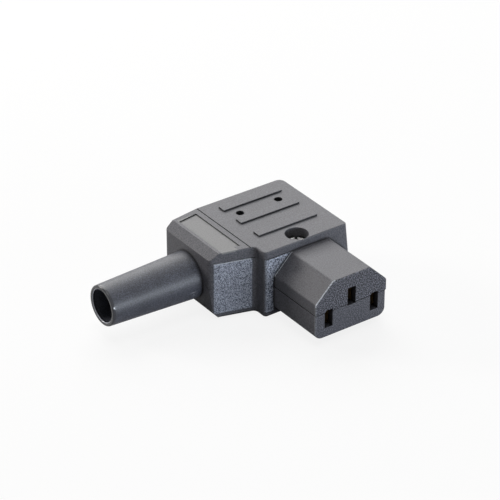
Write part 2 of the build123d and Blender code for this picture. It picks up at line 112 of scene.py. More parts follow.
def srgb(red: int, green: int, blue: int) -> Colour:
    """Turn an sRGB colour of 0 to 255 into linear values.

    Args:
        red: Red, 0 to 255.
        green: Green, 0 to 255.
        blue: Blue, 0 to 255.

    Returns:
        The three linear values, 0 to 1.
    """
    parts = np.array([red, green, blue]) / 255
    curve = ((parts + SRGB_LIFT) / (1 + SRGB_LIFT)) ** SRGB_POWER
    linear = np.where(parts <= SRGB_FOOT, parts / SRGB_SLOPE, curve)
    return tuple(float(value) for value in linear)


class Graph:
    """A material's node tree, with short calls that add nodes and join them."""

    def __init__(self, name: str) -> None:
        """Make an empty material.

        Args:
            name: The material's name.
        """
        self.material = bpy.data.materials.new(name)
        self.material.use_nodes = True
        self.tree = self.material.node_tree
        self.tree.nodes.clear()

    @classmethod
    def of_world(cls, world: bpy.types.World) -> Graph:
        """Take over a world's own tree, emptied.

        Args:
            world: The world.

        Returns:
            A graph on its tree.
        """
        graph = cls.__new__(cls)
        graph.material = None
        graph.tree = world.node_tree
        graph.tree.nodes.clear()
        return graph

    def node(self, kind: str, settings: dict | None = None, **inputs: object) -> bpy.types.Node:
        """Add a node, set its properties and fill or join its inputs.

        Args:
            kind: Blender's name of the node type.
            settings: The node's own properties.
            **inputs: Socket names, with _ for a space, and what goes into each.

        Returns:
            The new node.
        """
        made = self.tree.nodes.new(kind)
        for key, value in (settings or {}).items():
            setattr(made, key, value)
        for key, value in inputs.items():
            self.fill(made.inputs[key.replace("_", " ")], value)
        return made

    def fill(self, socket: Socket, value: object) -> None:
        """Put a number, a colour or another node's output into a socket.

        Args:
            socket: The input socket.
            value: A value or an output socket.
        """
        if isinstance(value, Socket):
            self.tree.links.new(value, socket)
        else:
            socket.default_value = value

    def math(self, operation: str, *values: object) -> Socket:
        """Join up to three numbers with one arithmetic step.

        Args:
            operation: Blender's name of the step.
            *values: Numbers or sockets.

        Returns:
            The result.
        """
        made = self.tree.nodes.new("ShaderNodeMath")
        made.operation = operation
        for socket, value in zip(made.inputs, values):
            self.fill(socket, value)
        return made.outputs[0]

    def times(self, first: object, second: object) -> Socket:
        """Return the product of two numbers."""
        return self.math("MULTIPLY", first, second)

    def spread(self, value: object, span: Range, result: Range = (0.0, 1.0)) -> Socket:
        """Map a number from one range to another, clamped at both ends.

        Args:
            value: The number or socket.
            span: The two ends of its range.
            result: What those ends become.

        Returns:
            The mapped number.
        """
        made = self.tree.nodes.new("ShaderNodeMapRange")
        for index, item in enumerate((value, *span, *result)):
            self.fill(made.inputs[index], item)
        return made.outputs[0]

    def swing(self, noise: Socket, share: float) -> Socket:
        """Return 1, less or more by up to share as smooth noise falls and rises."""
        return self.spread(noise, NOISE_SPAN, (1 - share, 1 + share))

    def colour(self, share: object, first: object, second: object, blend: str = "MIX") -> Socket:
        """Mix two colours.

        Args:
            share: Share of the second colour.
            first: The first colour or socket.
            second: The second colour or socket.
            blend: Blender's name of the way to mix.

        Returns:
            The mixed colour.
        """
        made = self.tree.nodes.new("ShaderNodeMix")
        made.data_type = "RGBA"
        made.blend_type = blend
        self.fill(made.inputs[0], share)
        for socket, value in ((made.inputs[6], first), (made.inputs[7], second)):
            self.fill(socket, (*value, 1.0) if isinstance(value, tuple) else value)
        return made.outputs[2]

    def shaded(self, surface: object, value: Socket) -> Socket:
        """Multiply a colour by a number.

        Args:
            surface: The colour or socket.
            value: The number.

        Returns:
            The product.
        """
        grey = self.node("ShaderNodeCombineColor")
        for socket in grey.inputs[:3]:
            self.fill(socket, value)
        return self.colour(1.0, surface, grey.outputs[0], "MULTIPLY")

    def place(self) -> Socket:
        """Return the place on the object, in millimetres."""
        where = self.node("ShaderNodeTexCoord").outputs["Object"]
        return self.node("ShaderNodeMapping", Vector=where, Scale=(1 / MM,) * 3).outputs[0]

    def noise(self, place: Socket, size: float, detail: float = BROAD_DETAIL) -> Socket:
        """Return smooth noise, 0 to 1, whose lumps are about size millimetres across."""
        return self.node("ShaderNodeTexNoise", Vector=place, Scale=1 / size, Detail=detail).outputs[0]

    def relief(self, height: object, depth: float, under: object = None) -> Socket:
        """Turn a height of 0 to 1 into a bumped normal.

        Args:
            height: The height.
            depth: How deep a height of 1 is, in millimetres.
            under: A normal that this relief lies on.

        Returns:
            The bumped normal.
        """
        made = self.node("ShaderNodeBump", Strength=1.0, Distance=depth * MM, Height=height)
        if under is not None:
            self.fill(made.inputs["Normal"], under)
        return made.outputs[0]

    def rounded(self, radius: float) -> Socket:
        """Return a normal that rounds sharp moulded edges by radius millimetres."""
        return self.node("ShaderNodeBevel", {"samples": BEVEL_SAMPLES}, Radius=radius * MM).outputs[0]

    def crevice(self, reach: float, darkest: float, open_share: Range = (0.55, 0.9)) -> Socket:
        """Work out how open the surface is, for painted shade: darkest in a crevice, 1 where nothing is
        within reach.

        Args:
            reach: How near the opposite wall has to be, in millimetres.
            darkest: The value deep in a crevice.
            open_share: Open share of the directions at which the value is darkest, and at which it is 1.

        Returns:
            The openness.
        """
        found = self.node("ShaderNodeAmbientOcclusion", {"samples": CREVICE_SAMPLES}, Distance=reach * MM)
        return self.spread(found.outputs["AO"], open_share, (darkest, 1.0))

    def along(self, first: Socket, second: object) -> Socket:
        """Return how far one vector reaches along another.

        Args:
            first: The first vector.
            second: The second vector or socket.

        Returns:
            Their dot product.
        """
        made = self.node("ShaderNodeVectorMath", {"operation": "DOT_PRODUCT"})
        self.fill(made.inputs[0], first)
        self.fill(made.inputs[1], second)
        return made.outputs[1]

    def turned(self, normal: Socket) -> Socket:
        """Return 1 where a softened normal leaves the true one, as along sharp edges, and 0 on flats."""
        true = self.node("ShaderNodeNewGeometry").outputs["True Normal"]
        return self.spread(self.along(normal, true), EDGE_TURN, (1.0, 0.0))

    def finish(self, **inputs: object) -> bpy.types.Material:
        """End the material with a principled shader.

        Args:
            **inputs: Socket names, with _ for a space, and what goes into each.

        Returns:
            The finished material.
        """
        filled = {
            key: (*value, 1.0) if isinstance(value, tuple) else value for key, value in inputs.items()
        }
        shader = self.node("ShaderNodeBsdfPrincipled", **filled)
        self.node("ShaderNodeOutputMaterial", Surface=shader.outputs[0])
        return self.material


@dataclass(frozen=True)
class Region:
    """A part of the housing's surface that has a texture of its own.

    Attributes:
        facing: Direction that the surface faces.
        reach: Distance of the surface from the origin along that direction.
        low: Lowest corner of the box that holds it.
        high: Highest corner of the box that holds it.
        slack: How far behind the surface still counts in full.
        fade: Further depth over which the texture dies away, as round a corner.
        strength: The mask's value on the region.
    """

    facing: Point
    reach: float
    low: Point
    high: Point
    slack: float
    fade: float = 0.02
    strength: float = 1.0

    def mask(self, graph: Graph, place: Socket) -> Socket:
        """Mark this region: its strength on the surface, and 0 elsewhere.

        Args:
            graph: The material being made.
            place: The place on the object.

        Returns:
            The mask.
        """
        outward = tuple(np.array(self.facing) / np.linalg.norm(self.facing))
        full = self.reach - self.slack
        found = graph.spread(graph.along(place, outward), (full - self.fade, full), (0.0, self.strength))
        split = graph.node("ShaderNodeSeparateXYZ", Vector=place)
        for part, low, high in zip(split.outputs, self.low, self.high):
            inside = graph.math("COMPARE", part, (low + high) / 2, (high - low) / 2)
            found = graph.times(found, inside)
        return found


@dataclass(frozen=True)
class HousingFinish:
    """Dark grey moulded plastic: satin top, sparked walls, finely sparked mating face, pale label field,
    with painted shade in crevices and hollows and painted highlights along edges and rims.

    Attributes:
        base: Colour of the plain surfaces.
        panel: Colour of the sparked walls.
        speck: Colour of the raised grains on the sparked walls, pale partly as painted glints.
        face: Colour of the mating face.
        face_speck: Colour of the raised grains on the mating face, pale partly as painted glints.
        label: Colour of the label field.
        edge_wear_and_highlight: Colour of rubbed edges, lighter partly as wear and partly as a painted
            highlight.
        rim: Colour of the painted highlight along polished rims.
        grain: Size of the satin grain.
        cloud: Size of the broad uneven patches.
        spark: Size of the coarse grains.
        fine_spark: Size of the fine grains.
        cloud_swing: How far the patches lighten and darken the plain surfaces.
        grain_swing: How far the satin grain lightens and darkens them.
        label_swing: How far the satin grain lightens and darkens the label field.
        spark_cut: Noise between which a coarse grain rises.
        fine_cut: Noise between which a fine grain rises.
        edge: Radius that softens moulded edges.
        rub_cut: Noise between which an edge goes from less to more rubbed.
        rub_share: Least and most share of the lighter edge colour, wear and painted highlight, on an
            edge.
        crevice_reach: How near walls have to be for painted shade between them.
        crevice_dark: What is left of the colour under that painted shade.
        hollow_reach: How near walls have to be for painted shade in a hollow.
        hollow_dark: What is left of the colour under that painted shade, deep in a hollow.
        hollow_open: Open share of the directions deep in a hollow, and clear of it.
        rim_highlight_cut: Noise between which the painted highlight along a rim goes from broken to
            whole.
        rim_highlight_share: Least and most share of the painted highlight's colour along a rim.
        relief: Depth of the grain.
        grain_height: Height of the satin grain, as a share of that depth.
        spark_height: Height of the coarse grains, as a share of it.
        roughness: Least and most roughness of the plain surfaces.
        panel_polish: How much smoother the sparked walls are.
        rim_polish: How much smoother the polished rims are.
        specular: Strength of the plastic's gloss.
    """

    base: Colour = srgb(87, 87, 92)
    panel: Colour = srgb(74, 79, 92)
    speck: Colour = srgb(212, 218, 232)
    face: Colour = srgb(10, 10, 13)
    face_speck: Colour = srgb(132, 133, 144)
    label: Colour = srgb(118, 118, 119)
    edge_wear_and_highlight: Colour = srgb(150, 152, 158)
    rim: Colour = srgb(222, 226, 234)
    grain: float = 0.32
    cloud: float = 7.0
    spark: float = 0.26
    fine_spark: float = 0.3
    cloud_swing: float = 0.05
    grain_swing: float = 0.44
    label_swing: float = 0.16
    spark_cut: Range = (0.41, 0.6)
    fine_cut: Range = (0.44, 0.66)
    edge: float = 0.12
    rub_cut: Range = (0.35, 0.6)
    rub_share: Range = (0.1, 0.6)
    crevice_reach: float = 0.8
    crevice_dark: float = 0.06
    hollow_reach: float = 5.0
    hollow_dark: float = 0.25
    hollow_open: Range = (0.3, 0.58)
    rim_highlight_cut: Range = (0.36, 0.5)
    rim_highlight_share: Range = (0.35, 1.0)
    relief: float = 0.06
    grain_height: float = 0.8
    spark_height: float = 1.6
    roughness: Range = (0.42, 0.56)
    panel_polish: float = 0.08
    rim_polish: float = 0.3
    specular: float = 0.32

    def build(
        self,
        name: str,
        panels: list[Region],
        faces: list[Region],
        fields: list[Region],
        highlit_rims: list[Region],
    ) -> bpy.types.Material:
        """Make the housing's material.

        Args:
            name: The material's name.
            panels: Regions with the coarse sparked texture.
            faces: Regions with the fine sparked texture.
            fields: Regions with the label field's finish.
            highlit_rims: Regions with a polished edge and a painted highlight along it.

        Returns:
            The material.
        """
        graph = Graph(name)
        place = graph.place()
        fine = graph.noise(place, self.grain, GRAIN_DETAIL)
        cloud = graph.noise(place, self.cloud)
        grit = graph.noise(place, self.spark, SPARK_DETAIL)
        fine_grit = graph.noise(place, self.fine_spark, SPARK_DETAIL)
        on_panel = self.union(graph, place, panels)
        on_face = self.union(graph, place, faces)
        on_field = self.union(graph, place, fields)
        on_highlit_rim = self.union(graph, place, highlit_rims)
        soft = graph.rounded(self.edge)

        patches = graph.swing(cloud, self.cloud_swing)
        uneven = graph.times(patches, graph.swing(fine, self.grain_swing))
        plain = graph.shaded(self.base, uneven)
        # The pale specks are the sparked grain, and partly painted glints of light on its facets
        coarse = graph.colour(graph.spread(grit, self.spark_cut), self.panel, self.speck)
        delicate = graph.colour(graph.spread(fine_grit, self.fine_cut), self.face, self.face_speck)
        surface = graph.colour(on_face, plain, delicate)
        surface = graph.colour(on_panel, surface, coarse)
        # Sharp edges take a lighter colour: partly wear, partly a painted highlight along them
        rub = graph.spread(grit, self.rub_cut, self.rub_share)
        surface = graph.colour(graph.times(graph.turned(soft), rub), surface, self.edge_wear_and_highlight)
        pale = graph.shaded(self.label, graph.swing(fine, self.label_swing))
        surface = graph.colour(on_field, surface, pale)
        # Painted shade: the colour darkens in crevices, and in hollows near walls
        crevice_shade = graph.crevice(self.crevice_reach, self.crevice_dark)
        hollow = graph.crevice(self.hollow_reach, self.hollow_dark, self.hollow_open)
        surface = graph.shaded(surface, graph.times(crevice_shade, hollow))
        # Painted highlight: a near-white, broken line along the polished rims
        broken = graph.times(on_highlit_rim, graph.spread(fine_grit, self.rim_highlight_cut, self.rim_highlight_share))
        surface = graph.colour(broken, surface, self.rim)

        height = graph.times(fine, self.grain_height)
        sparks = graph.times(graph.times(grit, self.spark_height), on_panel)
        height = graph.math("ADD", height, sparks)
        height = graph.math("ADD", height, graph.times(fine_grit, on_face))
        normal = graph.relief(height, self.relief, soft)
        rough = graph.spread(fine, NOISE_SPAN, self.roughness)
        rough = graph.math("SUBTRACT", rough, graph.times(on_panel, self.panel_polish))
        rough = graph.math("SUBTRACT", rough, graph.times(on_highlit_rim, self.rim_polish))
        return graph.finish(
            Base_Color=surface,
            Roughness=rough,
            Normal=normal,
            IOR=PLASTIC_IOR,
            Specular_IOR_Level=self.specular,
        )

    @staticmethod
    def union(graph: Graph, place: Socket, regions: list[Region]) -> Socket:
        """Join the masks of several regions.

        Args:
            graph: The material being made.
            place: The place on the object.
            regions: The regions.

        Returns:
            The highest of their masks.
        """
        found = regions[0].mask(graph, place)
        for region in regions[1:]:
            found = graph.math("MAXIMUM", found, region.mask(graph, place))
        return found


@dataclass(frozen=True)
class SleeveFinish:
    """Soft blue-black sleeve material with a fine grain and a polished lip, a painted sheen on the grain,
    painted shade near walls and a painted highlight round the bore.

    Attributes:
        base: Colour of the sleeve.
        sheen: Colour of the painted sheen on the grain's raised points.
        grain: Size of the grain.
        sheen_cut: Noise between which a point of the grain takes the painted sheen.
        sheen_share: Share of the painted sheen's colour on a raised point.
        cloud: Size of the broad darker patches.
        cloud_cut: Noise between which a patch darkens.
        cloud_share: Share of the darker colour in a patch.
        cloud_dark: The darker colour, as a share of the sleeve's.
        crevice_reach: How near walls have to be for painted shade between them.
        crevice_dark: What is left of the colour under that painted shade.
        lip_end: Place along X where the polished lip ends.
        lip_fade: Length along X over which the grain comes in.
        rim: Colour of the painted highlight round the bore's rim.
        rim_radius: Radius of that rim.
        rim_half: Half of its width.
        axis: Y and Z of the sleeve's axis.
        relief: Depth of the grain.
        roughness: Roughness of the lip, and of the rest.
        specular: Strength of the sleeve's gloss.
    """

    base: Colour = srgb(54, 55, 61)
    sheen: Colour = srgb(112, 116, 130)
    grain: float = 0.3
    sheen_cut: Range = (0.4, 0.7)
    sheen_share: float = 0.45
    cloud: float = 5.0
    cloud_cut: Range = (0.45, 0.7)
    cloud_share: float = 0.35
    cloud_dark: float = 0.75
    crevice_reach: float = 1.2
    crevice_dark: float = 0.15
    lip_end: float = -50.2
    lip_fade: float = 0.4
    rim: Colour = srgb(196, 200, 210)
    rim_radius: float = 4.4
    rim_half: float = 0.08
    axis: tuple[float, float] = (34.3, -0.5)
    relief: float = 0.035
    roughness: Range = (0.12, 0.44)
    specular: float = 0.43

    def build(self, name: str) -> bpy.types.Material:
        """Make the sleeve's material.

        Args:
            name: The material's name.

        Returns:
            The material.
        """
        graph = Graph(name)
        place = graph.place()
        grain = graph.noise(place, self.grain, SPARK_DETAIL)
        cloud = graph.noise(place, self.cloud)
        along, across, up = graph.node("ShaderNodeSeparateXYZ", Vector=place).outputs
        body = graph.spread(along, (self.lip_end, self.lip_end + self.lip_fade))
        # Painted sheen: the grain's raised points take a paler, bluish colour
        raised = graph.spread(grain, self.sheen_cut, (0.0, self.sheen_share))
        surface = graph.colour(graph.times(raised, body), self.base, self.sheen)
        darker = tuple(part * self.cloud_dark for part in self.base)
        dark = graph.spread(cloud, self.cloud_cut, (0.0, self.cloud_share))
        surface = graph.colour(dark, surface, darker)
        # Painted shade: the colour darkens near walls, as where the sleeve meets the housing
        surface = graph.shaded(surface, graph.crevice(self.crevice_reach, self.crevice_dark))
        # Painted highlight: a pale thin ring round the bore's rim at the open end
        aside = graph.math("POWER", graph.math("SUBTRACT", across, self.axis[0]), 2.0)
        above = graph.math("POWER", graph.math("SUBTRACT", up, self.axis[1]), 2.0)
        away = graph.math("SQRT", graph.math("ADD", aside, above))
        on_highlit_rim = graph.math("COMPARE", away, self.rim_radius, self.rim_half)
        on_highlit_rim = graph.times(on_highlit_rim, graph.math("LESS_THAN", along, self.lip_end))
        surface = graph.colour(on_highlit_rim, surface, self.rim)
        return graph.finish(
            Base_Color=surface,
            Roughness=graph.spread(body, (0.0, 1.0), self.roughness),
            Normal=graph.relief(graph.times(grain, body), self.relief),
            IOR=PLASTIC_IOR,
            Specular_IOR_Level=self.specular,
        )


@dataclass(frozen=True)
class MetalFinish:
    """Bare metal with fine working marks and a little stain.

    Attributes:
        colour: Colour of the clean metal.
        stain: Colour where it has dulled.
        roughness: Roughness of the clean metal.
        marks: How far apart the working marks are.
        dents: How deep the working marks are.
        stretch: How short the marks are along Y, as a share of the length that they would have.
        patch: Size of the dulled patches.
        patch_cut: Noise between which a patch dulls.
        patch_share: Share of the stain's colour in a patch.
        dulling: How much rougher a dulled patch is.
        edge: Radius that softens the edges.
    """

    colour: Colour
    stain: Colour
    roughness: float = 0.26
    marks: float = 0.12
    dents: float = 0.012
    stretch: float = 0.12
    patch: float = 1.6
    patch_cut: Range = (0.45, 0.7)
    patch_share: float = 0.6
    dulling: float = 0.16
    edge: float = 0.06

    def build(self, name: str) -> bpy.types.Material:
        """Make the metal's material.

        Args:
            name: The material's name.

        Returns:
            The material.
        """
        graph = Graph(name)
        place = graph.place()
        stretched = graph.node("ShaderNodeMapping", Vector=place, Scale=(1.0, self.stretch, 1.0))
        scratches = graph.noise(stretched.outputs[0], self.marks, GRAIN_DETAIL)
        dull = graph.noise(place, self.patch, GRAIN_DETAIL)
        share = graph.spread(dull, self.patch_cut, (0.0, self.patch_share))
        return graph.finish(
            Base_Color=graph.colour(share, self.colour, self.stain),
            Roughness=graph.spread(dull, NOISE_SPAN, (self.roughness, self.roughness + self.dulling)),
            Normal=graph.relief(scratches, self.dents, graph.rounded(self.edge)),
            Metallic=1.0,
        )


@dataclass(frozen=True)
class ClampFinish:
    """Plain dark plastic of the cord clamp's bar.

    Attributes:
        base: Colour of the bar.
        pale: The colour of the grain's raised points, as a multiple of the bar's.
        pale_cut: Noise between which a point of the grain rises.
        pale_share: Share of the paler colour on a raised point.
        grain: Size of the surface's grain.
        relief: Depth of the grain.
        edge: Radius that softens the edges.
        roughness: Least and most roughness.
    """

    base: Colour = srgb(70, 70, 72)
    pale: float = 1.4
    pale_cut: Range = (0.4, 0.7)
    pale_share: float = 0.4
    grain: float = 0.3
    relief: float = 0.02
    edge: float = 0.1
    roughness: Range = (0.45, 0.6)

    def build(self, name: str) -> bpy.types.Material:
        """Make the clamp bar's material.

        Args:
            name: The material's name.

        Returns:
            The material.
        """
        graph = Graph(name)
        grain = graph.noise(graph.place(), self.grain, GRAIN_DETAIL)
        paler = tuple(part * self.pale for part in self.base)
        share = graph.spread(grain, self.pale_cut, (0.0, self.pale_share))
        return graph.finish(
            Base_Color=graph.colour(share, self.base, paler),
            Roughness=graph.spread(grain, NOISE_SPAN, self.roughness),
            Normal=graph.relief(grain, self.relief, graph.rounded(self.edge)),
        )


def mesh_object(
    name: str, points: np.ndarray, faces: np.ndarray, smooth_angle: float
) -> bpy.types.Object:
    """Put computed points and faces into a mesh whose faces point outwards.

    Args:
        name: Name of the piece.
        points: Array of points in millimetres, one row each.
        faces: Array of four point numbers for each face.
        smooth_angle: Edges that turn less than this many degrees are shaded smooth.

    Returns:
        The new object, at the origin.
    """
    mesh = bpy.data.meshes.new(name)
    mesh.from_pydata((points * MM).tolist(), [], faces.tolist())
    shape = bmesh.new()
    shape.from_mesh(mesh)
    bmesh.ops.remove_doubles(shape, verts=shape.verts, dist=MERGE * MM)
    bmesh.ops.dissolve_degenerate(shape, dist=SLIVER * MM, edges=shape.edges)
    bmesh.ops.recalc_face_normals(shape, faces=shape.faces)
    for face in shape.faces:
        face.smooth = True
    for edge in shape.edges:
        if len(edge.link_faces) == 2:
            edge.smooth = edge.calc_face_angle(0.0) < math.radians(smooth_angle)
    shape.to_mesh(mesh)
    shape.free()
    piece = bpy.data.objects.new(name, mesh)
    bpy.context.scene.collection.objects.link(piece)
    return piece


def grid_faces(rows: int, columns: int, round_rows: bool = False) -> np.ndarray:
    """Number the four corners of each face of a grid whose columns close into a ring.

    Args:
        rows: Points from the first row to the last.
        columns: Points round the ring.
        round_rows: Whether the last row joins the first.

    Returns:
        One row of four point numbers for each face.
    """
    row = np.arange(rows if round_rows else rows - 1)[:, None]
    column = np.arange(columns)[None, :]
    next_row = (row + 1) % rows
    next_column = (column + 1) % columns
    corners = (
        row * columns + column,
        row * columns + next_column,
        next_row * columns + next_column,
        next_row * columns + column,
    )
    return np.stack([np.broadcast_to(corner, corners[0].shape) for corner in corners], -1).reshape(-1, 4)


def wear(piece: bpy.types.Object, material: bpy.types.Material) -> None:
    """Give a new piece its material and the body that it rides on.

    Args:
        piece: The piece.
        material: Its material.
    """
    piece.data.materials.clear()
    piece.data.materials.append(material)
    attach(piece, BODY)
    LOG.info("%s: %d faces, finish %s", piece.name, len(piece.data.polygons), material.name)


@dataclass
class Housing:
    """The two shells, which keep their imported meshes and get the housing's finish.

    The box of a marked surface reaches past it in depth, where the surface's own slack and fade decide.

    Attributes:
        finish: The plastic's finish.
        front: Y of the block's front wall.
        panel_rise: How far the sparked walls stand out from the plain bands.
        nose_side: X of the nose's left side.
        nose_half_height: Half of the nose's height.
        nose_half_width: Half width of the box that holds the mating face.
        slant_reach: Distance of the nose's slanted faces from its axis.
        slant_low: Height where the left slant starts.
        slant_right: X past the upper end of the left slant.
        groove: X of the wall between shoulder and block.
        groove_depth: Y of the shoulder's front wall at that place.
        end: X of the shoulder's end wall.
        end_front: Y of the shoulder's front wall at the end wall.
        corner: Length along X that the shoulder's sparked wall leaves plain at its rounded end.
        block_band: Height where the block's smooth upper band starts.
        shoulder_band: Height where the shoulder's smooth upper band starts.
        low_band: Height where the smooth lower band ends.
        before: How far the boxes on the shoulder reach in front of its wall.
        behind: How far they reach behind it.
        seam: Height of the seam between the shells.
        top: Height of the flat top.
        fold: X where the label slope starts.
        label_fall: Fall of the label slope for each millimetre along -X.
        label_depth: Depth of the label field.
        label_low: Lowest corner of the box that holds the label field.
        label_high: Highest corner of that box.
    """

    finish: HousingFinish = field(default_factory=HousingFinish)
    front: float = 17.5
    panel_rise: float = 0.2
    nose_side: float = -10.95
    nose_half_height: float = 7.65
    nose_half_width: float = 12.0
    slant_reach: float = 9.475
    slant_low: float = 2.0
    slant_right: float = -4.9
    groove: float = -13.6
    groove_depth: float = 21.55
    end: float = -25.0
    end_front: float = 24.85
    corner: float = 0.9
    block_band: float = 7.6
    shoulder_band: float = 6.7
    low_band: float = -7.6
    before: float = 1.0
    behind: float = 1.5
    seam: float = -0.5
    top: float = 9.7
    fold: float = -14.6
    label_fall: float = 0.25 / 8.05
    label_depth: float = 0.25
    label_low: Point = (-21.9, 23.0, 8.6)
    label_high: Point = (-16.25, 43.6, 9.6)

    def shoulder_wall(self) -> tuple[Point, float]:
        """Work out where the shoulder's sparked front wall stands.

        Returns:
            The direction that it faces, and its distance from the origin along it.
        """
        run = np.array([self.groove - self.end, self.groove_depth - self.end_front])
        facing = np.array([run[1], -run[0]]) / np.linalg.norm(run)
        reach = float(facing @ np.array([self.end, self.end_front - self.panel_rise]))
        return (float(facing[0]), float(facing[1]), 0.0), reach

    def shoulder_box(self, start: float, rise: float, spare: float) -> tuple[Point, Point]:
        """Work out a box round a level strip of the shoulder's sparked wall.

        Args:
            start: Height of the strip's lower edge.
            rise: Height of its upper edge.
            spare: Length along X that it leaves free at the groove.

        Returns:
            The box's lowest and highest corners.
        """
        low = (self.end + self.corner, self.groove_depth - self.before, start)
        return low, (self.groove - spare, self.end_front + self.behind, rise)

    def panels(self) -> list[Region]:
        """Mark the coarse sparked walls.

        Returns:
            The walls beside the nose, over its left slant and on the shoulder.
        """
        y = self.front - self.panel_rise
        low = (self.groove, y - 0.1, self.low_band)
        high = (self.nose_side, y + 1.0, self.block_band)
        beside = Region(TO_FRONT, -y, low, high, slack=0.05, fade=0.6)
        # This box starts at the wall, so that the nose's slant in front of it stays plain
        low = (self.nose_side, y - 0.02, self.slant_low)
        high = (self.slant_right, y + 0.3, self.block_band)
        over = Region(TO_FRONT, -y, low, high, slack=0.3, fade=0.1)
        box = self.shoulder_box(self.low_band, self.shoulder_band, 0.9)
        shoulder = Region(*self.shoulder_wall(), *box, slack=0.08, fade=0.45, strength=0.62)
        return [beside, over, shoulder]

    def mating_face(self) -> list[Region]:
        """Mark the mating face.

        Returns:
            Its finely sparked part above the seam, and the fainter one below.
        """
        half = self.nose_half_width
        upper = ((-half, -0.1, self.seam), (half, 0.9, self.nose_half_height))
        lower = ((-half, -0.1, -9.0), (half, 0.9, self.seam))
        return [
            Region(TO_FRONT, 0.0, *upper, slack=0.05, fade=0.4),
            Region(TO_FRONT, 0.0, *lower, slack=0.05, fade=0.4, strength=0.55),
        ]

    def highlit_rims(self) -> list[Region]:
        """Mark the polished edges, which carry a painted highlight.

        Returns:
            The shoulder panel's upper edge, the nose's left slant at both ends, and its left corner.
        """
        edge = self.shoulder_box(self.shoulder_band - 0.2, self.shoulder_band + 0.05, 1.2)
        tip = ((-11.2, 0.1, 0.0), (0.0, 0.36, 8.0))
        root = ((-11.2, 16.9, 2.3), (-5.4, 17.2, 8.0))
        side = ((-11.2, 0.02, -6.4), (-10.3, 0.5, 3.0))
        slant = self.slant_reach
        return [
            Region(*self.shoulder_wall(), *edge, slack=0.3, fade=0.1, strength=0.6),
            Region(TO_UPPER_LEFT, slant, *tip, slack=0.5, fade=0.1, strength=0.9),
            Region(TO_UPPER_LEFT, slant, *root, slack=0.1, fade=0.1, strength=0.9),
            Region(TO_LEFT, -self.nose_side, *side, slack=0.25, fade=0.2, strength=0.2),
        ]

    def label(self) -> list[Region]:
        """Mark the bare label field.

        Returns:
            Its one region.
        """
        facing = np.array([-self.label_fall, 0.0, 1.0])
        facing /= np.linalg.norm(facing)
        reach = float(facing @ np.array([self.fold, 0.0, self.top])) - self.label_depth
        return [Region(tuple(facing), reach, self.label_low, self.label_high, slack=0.05)]

    def dress(self, nodes: dict[str, bpy.types.Object]) -> None:
        """Give both shells their finish.

        Args:
            nodes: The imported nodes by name.
        """
        regions = (self.panels(), self.mating_face(), self.label(), self.highlit_rims())
        material = self.finish.build("housing_plastic", *regions)
        for name in NodeSet.SHELLS.value:
            assign(nodes[name], material)


def assign(node: bpy.types.Object, material: bpy.types.Material) -> None:
    """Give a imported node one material.

    Args:
        node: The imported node.
        material: The material.
    """
    node.data.materials.clear()
    node.data.materials.append(material)
    LOG.info("%s: packed mesh, finish %s", node.name, material.name)


